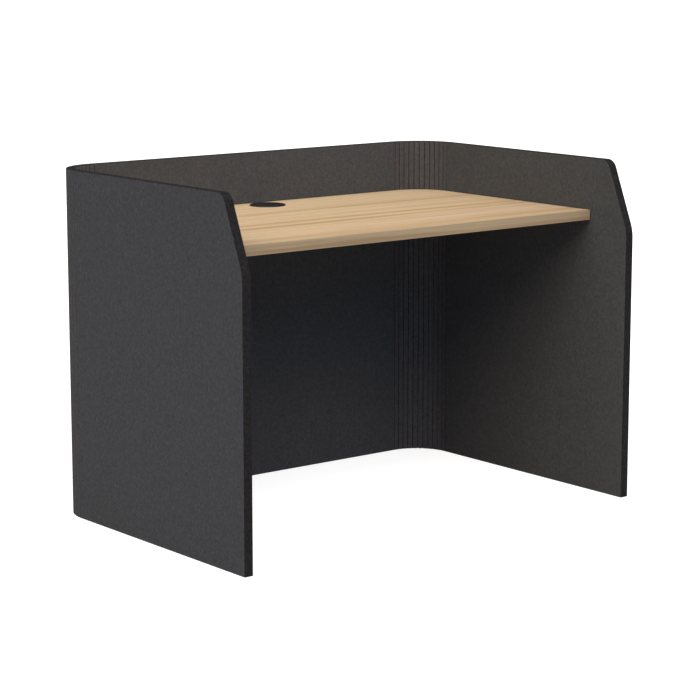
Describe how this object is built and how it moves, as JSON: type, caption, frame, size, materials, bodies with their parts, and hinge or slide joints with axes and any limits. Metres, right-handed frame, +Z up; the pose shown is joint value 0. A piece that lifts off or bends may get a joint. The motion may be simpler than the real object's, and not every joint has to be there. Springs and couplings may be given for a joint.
{
  "type": "teacher desk",
  "caption": "Teacher desk in pod form: a U-shaped felt screen with kerf-bent rear corners stands on the floor and carries an oak worktop with a cable grommet.",
  "frame": {"origin": "on the floor, at the centre of the desk's outline", "axes": "+X to the seated user's right, along the desk's width; +Y away from the user, towards the rear panel; +Z up"},
  "size_m": [1.2, 0.8, 0.85],
  "materials": {
    "felt_outer": "pressed needle felt, charcoal, cut edges darker",
    "felt_inner": "pressed needle felt, charcoal, cut edges darker",
    "oak_laminate": "light oak decor, straight grain, matt",
    "oak_edge": "light oak decor edge band, matt",
    "chipboard": "raw chipboard",
    "black_plastic": "fine moulded texture",
    "coated_steel": "black powder coat",
    "zinc_plated_steel": "bright zinc",
    "brass": "turned brass"
  },
  "bodies": {
    "desk": {"screen_outer_ply": "felt_outer", "screen_inner_ply": "felt_inner", "worktop_core": "chipboard", "worktop_laminate": "oak_laminate", "worktop_underside": "oak_laminate", "worktop_front_band": "oak_edge", "worktop_rim_band": "oak_edge", "grommet_ring": "black_plastic", "bracket_left": "coated_steel", "bracket_right": "coated_steel", "bracket_rear_left": "coated_steel", "bracket_rear_right": "coated_steel", "worktop_screws_left": "zinc_plated_steel", "worktop_screws_right": "zinc_plated_steel", "worktop_screws_rear_left": "zinc_plated_steel", "worktop_screws_rear_right": "zinc_plated_steel", "panel_screws_left": "zinc_plated_steel", "panel_screws_right": "zinc_plated_steel", "panel_screws_rear_left": "zinc_plated_steel", "panel_screws_rear_right": "zinc_plated_steel", "panel_inserts_left": "brass", "panel_inserts_right": "brass", "panel_inserts_rear_left": "brass", "panel_inserts_rear_right": "brass"},
    "cap": {"grommet_cap": "black_plastic"},
    "shutter": {"grommet_shutter": "black_plastic"}
  },
  "joints": [
    {"name": "cap_lift", "type": "slide", "parent": "desk", "child": "cap", "axis": [0, 0, 1], "range_m": [0, 0.03]},
    {"name": "shutter_turn", "type": "hinge", "parent": "cap", "child": "shutter", "pos_m": [0, 0.312, 0.719], "axis": [0, 0, 1], "range_deg": [0, 90]}
  ]
}
